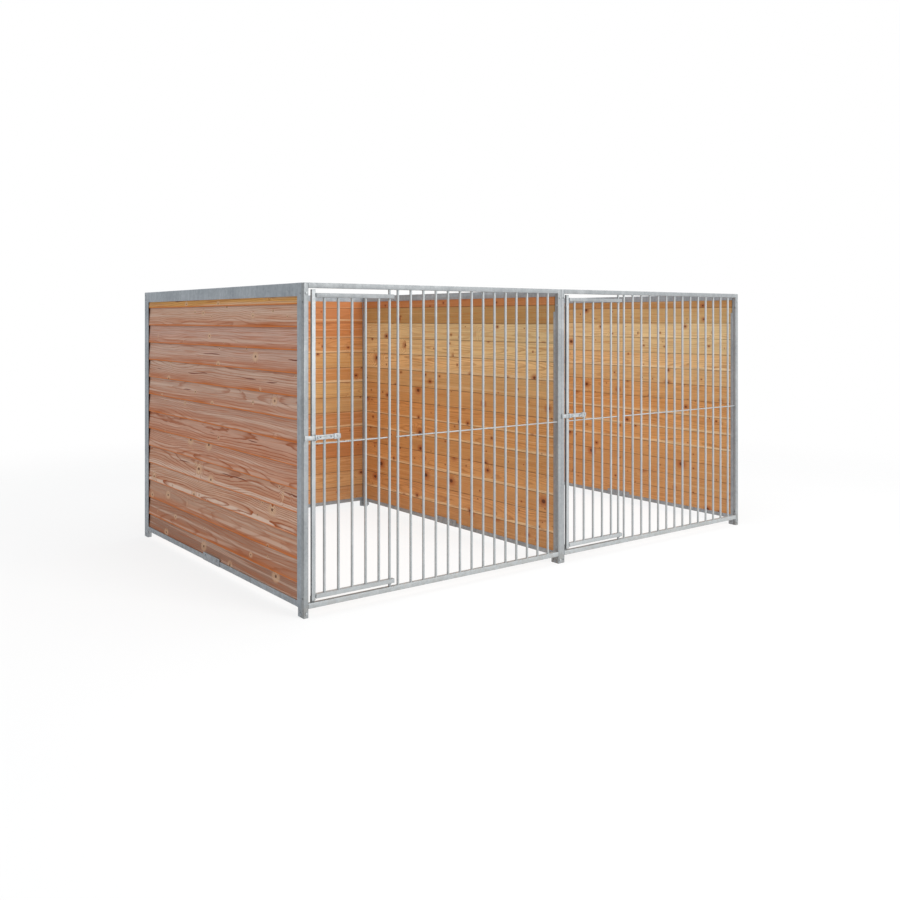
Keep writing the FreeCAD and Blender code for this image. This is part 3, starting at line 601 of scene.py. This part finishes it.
    # Painted light: an orange glow in the red streaks' colour over the lower part of each board below the
    # top one, strongest at its lower edge and uneven along it.
    below_top = calc(tree, "MULTIPLY", ease(tree, tone, 0.97, 0.94), wood["painted_glow"])
    painted_glow = calc(tree, "MULTIPLY", ease(tree, up, 0.085, 0.005), below_top)
    uneven = calc(tree, "MULTIPLY_ADD", streaks(0.45, 0.02, 3.0, 81.0), 1.9, -0.25)
    painted_glow = calc(tree, "MULTIPLY", painted_glow, uneven)
    colour = tint(tree, calc(tree, "MAXIMUM", ruddy, painted_glow), colour, linear(wood["ruddy"]))
    low_down = ease(tree, tone, *wood["strip"])
    stripe = calc(tree, "MULTIPLY", ease(tree, streaks(1.7, 0.026, 2.0, 31.0), *wood["pale"]), 0.5)
    edge_width = calc(tree, "MULTIPLY", ease(tree, chance.outputs["X"], 0.3, 0.9), 0.034)
    edge_waves = calc(tree, "ADD", streaks(0.5, WHOLE_WIDTH, 2.0, 41.0), 0.5)
    edge_width = calc(tree, "MULTIPLY", edge_width, edge_waves)
    strip = calc(tree, "MULTIPLY", ease(tree, calc(tree, "SUBTRACT", up, edge_width), 0.003, -0.003),
                 ease(tree, edge_width, 0.004, 0.008))
    sap = calc(tree, "MAXIMUM", stripe, calc(tree, "MULTIPLY", strip, low_down))
    colour = tint(tree, calc(tree, "MULTIPLY", sap, wood["sap_share"]), colour, linear(wood["sapwood"]))
    ringed = calc(tree, "MULTIPLY", calc(tree, "MAXIMUM", halo, pin_halo), wood["halo_share"])
    colour = tint(tree, ringed, colour, linear(wood["halo"]))
    colour = tint(tree, calc(tree, "MULTIPLY", late, wood["late_share"]), colour, linear(wood["late"]))
    # On the sawn outside the orange band along each board's lower edge is painted bounce light; on the
    # planed inside the dark band just above the lower joint is a joint line.
    under = calc(tree, "MULTIPLY", ease(tree, up, *wood["edge_at"]), wood["edge_share"])
    colour = tint(tree, under, colour, linear(wood["edge"]))
    # Dark band at the top of each board: on the planed inside a dark joint line, on the sawn outside
    # painted shade under the lap of the board above. With it comes the painted shade on the board ends in
    # the channels.
    joint_line_and_painted_shade = calc(tree, "MULTIPLY", ease(tree, up, *wood["joint_line_and_lap_shade_at"]), wood["joint_line_and_lap_shade"])
    # Painted shade on the sawn board ends that sit under the channels' flanges.
    in_channel = put(tree, "ShaderNodeAttribute", attribute_name="end_gap").outputs["Fac"]
    painted_channel_shade = calc(tree, "MULTIPLY", ease(tree, in_channel, *CHANNEL_SHADE), wood["channel"])
    joint_line_and_painted_shade = calc(tree, "MAXIMUM", joint_line_and_painted_shade, painted_channel_shade)
    colour = tint(tree, joint_line_and_painted_shade, colour, linear(wood["crack_and_shade"]))
    colour = tint(tree, calc(tree, "MULTIPLY", calc(tree, "MAXIMUM", core, pin), 0.88), colour,
                  linear(wood["knot"]))

    # Splits: on some boards, along a wandering line that opens and closes.
    open_share = ease(tree, streaks(0.42, WHOLE_WIDTH, 1.0, 57.0), 0.5, 0.62)
    wander = calc(tree, "MULTIPLY_ADD", streaks(0.4, WHOLE_WIDTH, 2.0, 51.0), 0.05, 0.01)
    line = calc(tree, "MULTIPLY_ADD", chance.outputs["Z"], 0.07, wander)
    off_line = calc(tree, "ABSOLUTE", calc(tree, "SUBTRACT", up, line))
    off_line = calc(tree, "MULTIPLY_ADD", open_share, -LOG["split"], off_line)
    split = ease(tree, off_line, 0.0012, -0.0006)
    split = calc(tree, "MULTIPLY", split, ease(tree, open_share, 0.05, 0.25))
    split = calc(tree, "MULTIPLY", split, ease(tree, chance.outputs["Y"], 0.55, 0.6))
    split = calc(tree, "MULTIPLY", split, wood["crack_share"])
    colour = tint(tree, split, colour, linear(wood["crack_and_shade"]))
    relief = calc(tree, "MULTIPLY_ADD", fibre, 0.5, calc(tree, "MULTIPLY", late, 0.5))
    relief = calc(tree, "SUBTRACT", relief, calc(tree, "MULTIPLY", split, 2.0))
    rough = calc(tree, "MULTIPLY_ADD", fibre, 0.24, wood["rough"] - 0.12)
    coat(tree, shader, colour, rough, relief, 0.4, LOG["relief"])
    shader.inputs["Specular IOR Level"].default_value = 0.3
    return finish


def cut_board(name, length, height):
    """One board lying along X: flat inside at Y nought, tapered outside, rebated below, its edges eased."""
    slope = (BOARD_BUTT - BOARD_TIP) / (BOARD_COVER + BOARD_LAP)
    back = BOARD_TIP + slope * BOARD_LAP + LAP_PLAY
    head = BOARD_BUTT - slope * height
    inward, upward = INNER_EASED
    section = [(back, 0.0)]
    section += [(BOARD_BUTT - short, rise) for short, rise in BUTT_EASED]
    section += [(head, height - HEAD_EASED), (head - HEAD_EASED, height)]
    section += [(inward, height), (0.0, height - upward)]
    section += [(0.0, BOARD_LAP + upward), (inward, BOARD_LAP), (back, BOARD_LAP)]
    sawn = bmesh.new()
    rings = []
    for step in range(BOARD_STEPS + 1):
        x = length * step / BOARD_STEPS
        rings.append([sawn.verts.new((x, y, z)) for y, z in section])
    for near, far in zip(rings, rings[1:]):
        for corner in range(len(section)):
            after = (corner + 1) % len(section)
            sawn.faces.new((near[corner], near[after], far[after], far[corner]))
    sawn.faces.new(reversed(rings[0]))
    sawn.faces.new(rings[-1])
    bmesh.ops.recalc_face_normals(sawn, faces=sawn.faces)
    mesh = bpy.data.meshes.new(name)
    sawn.to_mesh(mesh)
    sawn.free()
    place = mesh.attributes.new("grain_place", "FLOAT_VECTOR", "POINT")
    place.data.foreach_set("vector", [value for vertex in mesh.vertices for value in vertex.co])
    # Distance to the nearer end of the board, which places the painted shade inside the channels.
    gap = mesh.attributes.new("end_gap", "FLOAT", "POINT")
    gap.data.foreach_set("value", [min(vertex.co.x, length - vertex.co.x) for vertex in mesh.vertices])
    rough = mesh.attributes.new("rough_side", "FLOAT", "FACE")
    rough.data.foreach_set("value", [1.0 if face.normal.y > 0.1 else 0.0 for face in mesh.polygons])
    board = bpy.data.objects.new(name, mesh)
    bpy.context.scene.collection.objects.link(board)
    return board


def board_stack_tree():
    """A stack of lapped boards with a ripped one on top; every board gets its own log and small play."""
    tree = bpy.data.node_groups.new("board_stack", "GeometryNodeTree")
    for socket, kind in (("Board", "Object"), ("Top Board", "Object"), ("Rows", "Int"), ("Cover", "Float"),
                         ("Mixed", "Float"), ("Play", "Float"), ("Seed", "Int"), ("Planed", "Material"),
                         ("Sawn", "Material")):
        tree.interface.new_socket(socket, in_out="INPUT", socket_type="NodeSocket" + kind)
    tree.interface.new_socket("Stack", in_out="OUTPUT", socket_type="NodeSocketGeometry")
    given = put(tree, "NodeGroupInput").outputs
    step = put(tree, "ShaderNodeCombineXYZ", {"Z": given["Cover"]}).outputs[0]
    count = calc(tree, "ADD", given["Rows"], 1.0)
    places = put(tree, "GeometryNodeMeshLine", {"Count": count, "Offset": step})
    row = put(tree, "GeometryNodeInputIndex").outputs[0]
    log = put(tree, "FunctionNodeRandomValue", {0: (0, 0, 0), 1: (1, 1, 1), "Seed": given["Seed"]},
              data_type="FLOAT_VECTOR")
    marked = put(tree, "GeometryNodeStoreNamedAttribute", {"Geometry": places.outputs["Mesh"],
                                                           "Name": "board_log", "Value": log.outputs[0]},
                 data_type="FLOAT_VECTOR")
    share = calc(tree, "DIVIDE", row, given["Rows"])
    any_row = put(tree, "FunctionNodeRandomValue", {"Seed": calc(tree, "ADD", given["Seed"], TONE_SEED)})
    tone = put(tree, "ShaderNodeMix", {0: given["Mixed"], 2: share, 3: any_row.outputs[1]}).outputs[0]
    marked = put(tree, "GeometryNodeStoreNamedAttribute", {"Geometry": marked.outputs["Geometry"],
                                                           "Name": "board_tone", "Value": tone})
    top = calc(tree, "GREATER_THAN", share, 0.999)
    stack = put(tree, "GeometryNodeJoinGeometry")
    for board, chosen in (("Board", calc(tree, "SUBTRACT", 1.0, top)), ("Top Board", top)):
        blank = put(tree, "GeometryNodeObjectInfo", {"Object": given[board]})
        laid = put(tree, "GeometryNodeInstanceOnPoints", {"Points": marked.outputs["Geometry"],
                                                          "Selection": chosen,
                                                          "Instance": blank.outputs["Geometry"]})
        tree.links.new(laid.outputs["Instances"], stack.inputs["Geometry"])
    stack = put(tree, "GeometryNodeRealizeInstances", {"Geometry": stack.outputs["Geometry"]})
    wave = put(tree, "ShaderNodeTexNoise", {"Scale": PLAY_WAVES, "Detail": 1.0, "W": given["Seed"]},
               noise_dimensions="4D")
    play = put(tree, "ShaderNodeMapRange", {"Value": wave.outputs["Fac"], "From Min": 0.3, "From Max": 0.7,
                                            "To Max": given["Play"]}).outputs[0]
    bow = put(tree, "ShaderNodeCombineXYZ", {"Y": play}).outputs[0]
    stack = put(tree, "GeometryNodeSetPosition", {"Geometry": stack.outputs["Geometry"], "Offset": bow})
    stack = put(tree, "GeometryNodeSetMaterial", {"Geometry": stack.outputs["Geometry"],
                                                  "Material": given["Planed"]})
    rough = put(tree, "GeometryNodeInputNamedAttribute", {"Name": "rough_side"}).outputs[0]
    stack = put(tree, "GeometryNodeSetMaterial", {"Geometry": stack.outputs["Geometry"], "Selection": rough,
                                                  "Material": given["Sawn"]})
    put(tree, "NodeGroupOutput", {"Stack": stack.outputs["Geometry"]})
    return tree


board_stack = board_stack_tree()
planed_wood = board_wood("boards_planed", PLANED)
rear_wood = board_wood("boards_planed_rear", REAR_PLANED)
sawn_wood = board_wood("boards_sawn", SAWN)
for number, wall in enumerate(WALLS):
    low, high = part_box(wall + "_boards")
    inner = rear_wood if wall.startswith("rear") else planed_wood
    if wall == "left_wall":
        lie = Matrix(((0, -1, 0, high.x), (1, 0, 0, low.y), (0, 0, 1, low.z), (0, 0, 0, 1)))
    elif wall.startswith("rear"):
        lie = Matrix.Translation(low)
    else:
        lie = Matrix(((0, 1, 0, low.x), (-1, 0, 0, high.y), (0, 0, 1, low.z), (0, 0, 0, 1)))
    length = max(high.x - low.x, high.y - low.y)
    board = cut_board("board_blank", length, BOARD_COVER + BOARD_LAP)
    ripped = cut_board("ripped_blank", length, high.z - low.z - FULL_BOARDS * BOARD_COVER)
    stack_sizes = {"Board": board, "Top Board": ripped, "Rows": FULL_BOARDS, "Cover": BOARD_COVER,
                   "Mixed": STACK_MIXED, "Play": BOARD_PLAY, "Seed": STACK_SEED + number,
                   "Planed": inner, "Sawn": sawn_wood}
    mesh = grow(wall + "_weatherboard", board_stack, stack_sizes)
    mesh.transform(lie)
    bpy.data.objects.remove(board)
    bpy.data.objects.remove(ripped)
    add_piece(wall + "_weatherboard", mesh, wall + "_boards")


# Bolts and nuts that hold the panels together: hexagon-headed steel, zinc plated, through neighbouring
# posts and stiles with the nut inside the far one. Their corners are chamfered.

HEAD_EDGE = 0.0006

for fastener in ("corner_bolts", "front_link_bolts", "rear_link_bolts", "bolt_nuts"):
    break_edges(fastener, HEAD_EDGE)


# Studio: a pale floor that keeps the kennel's shadow, a white surround, one large soft lamp before the
# fronts and a weaker one overhead, and a level camera from the front left at standing height. The
# camera's focal length and horizon are given in pixels of the square picture.

FLOOR_RADIUS = 9.0
FLOOR_FADE = (3.6, 7.5)
FLOOR_WHITE = 0.8
SKY_COLOUR = (0.95, 0.975, 1.0, 1.0)
SKY_STRENGTH = 0.61
LAMP_AIM = Vector((0.0, 0.0, 0.9))
LAMPS = (
    ("front_lamp", (1.5, -9.5, 4.2), 5.0, 680.0, (1.0, 0.985, 0.965)),
    ("overhead_lamp", (0.0, -0.6, 7.0), 7.0, 260.0, (1.0, 1.0, 1.0)),
)
CAMERA_PLACE = (-4.549, -5.968, 1.682)
CAMERA_TURN = 37.36
CAMERA_PIXELS = 940.0
CAMERA_HORIZON = 319.4
PICTURE = 900.0
SENSOR = 36.0


def seen_itself(tree):
    """One for the rays that show a thing, nought for those by which it only lights others."""
    ray = put(tree, "ShaderNodeLightPath").outputs
    mirrored = calc(tree, "MAXIMUM", ray["Is Glossy Ray"], ray["Is Transmission Ray"])
    return calc(tree, "MAXIMUM", ray["Is Camera Ray"], mirrored)


bpy.ops.mesh.primitive_circle_add(vertices=96, radius=FLOOR_RADIUS, fill_type="NGON")
floor = bpy.context.object
floor.name = "floor"
floor_paint = bpy.data.materials.new("pale_floor")
floor_paint.use_nodes = True
tree = floor_paint.node_tree
tree.nodes.clear()
place = put(tree, "ShaderNodeTexCoord").outputs["Object"]
pale = tint(tree, mottle(tree, place, 1.3, 3.0), linear("#f0f0f0"), linear("#f5f5f5"))
matt = put(tree, "ShaderNodeBsdfDiffuse", {"Color": pale})
lit = put(tree, "ShaderNodeEmission", {"Color": (1.0, 1.0, 1.0, 1.0), "Strength": 1.0})
clear = put(tree, "ShaderNodeBsdfTransparent")
whiter = calc(tree, "MULTIPLY", seen_itself(tree), FLOOR_WHITE)
paler = put(tree, "ShaderNodeMixShader", {0: whiter, 1: matt.outputs[0], 2: lit.outputs[0]})
away = put(tree, "ShaderNodeVectorMath", {0: place}, operation="LENGTH").outputs["Value"]
gone = ease(tree, away, *FLOOR_FADE)
faded = put(tree, "ShaderNodeMixShader", {0: gone, 1: paler.outputs[0], 2: clear.outputs[0]})
put(tree, "ShaderNodeOutputMaterial", {"Surface": faded.outputs[0]})
floor.data.materials.append(floor_paint)

world = bpy.data.worlds.new("white_studio")
world.use_nodes = True
sky = world.node_tree
sky.nodes.clear()
ambient = put(sky, "ShaderNodeBackground", {"Color": SKY_COLOUR, "Strength": SKY_STRENGTH})
white = put(sky, "ShaderNodeBackground", {"Color": (1.0, 1.0, 1.0, 1.0), "Strength": 1.0})
either = put(sky, "ShaderNodeMixShader", {0: seen_itself(sky), 1: ambient.outputs[0],
                                          2: white.outputs[0]})
put(sky, "ShaderNodeOutputWorld", {"Surface": either.outputs[0]})
bpy.context.scene.world = world

for name, spot, size, power, colour in LAMPS:
    lamp = bpy.data.lights.new(name, "AREA")
    lamp.shape = "DISK"
    lamp.size = size
    lamp.energy = power
    lamp.color = colour
    stand = bpy.data.objects.new(name, lamp)
    stand.location = spot
    stand.rotation_euler = (LAMP_AIM - Vector(spot)).to_track_quat("-Z", "Y").to_euler()
    bpy.context.scene.collection.objects.link(stand)

view = bpy.data.cameras.new("camera")
view.sensor_width = SENSOR
view.lens = CAMERA_PIXELS * SENSOR / PICTURE
view.shift_y = (CAMERA_HORIZON - PICTURE / 2) / PICTURE
view.clip_end = 200.0
camera = bpy.data.objects.new("camera", view)
camera.location = CAMERA_PLACE
camera.rotation_euler = (math.radians(90.0), 0.0, math.radians(-CAMERA_TURN))
bpy.context.scene.collection.objects.link(camera)
bpy.context.scene.camera = camera
bpy.context.scene.view_settings.view_transform = "Standard"
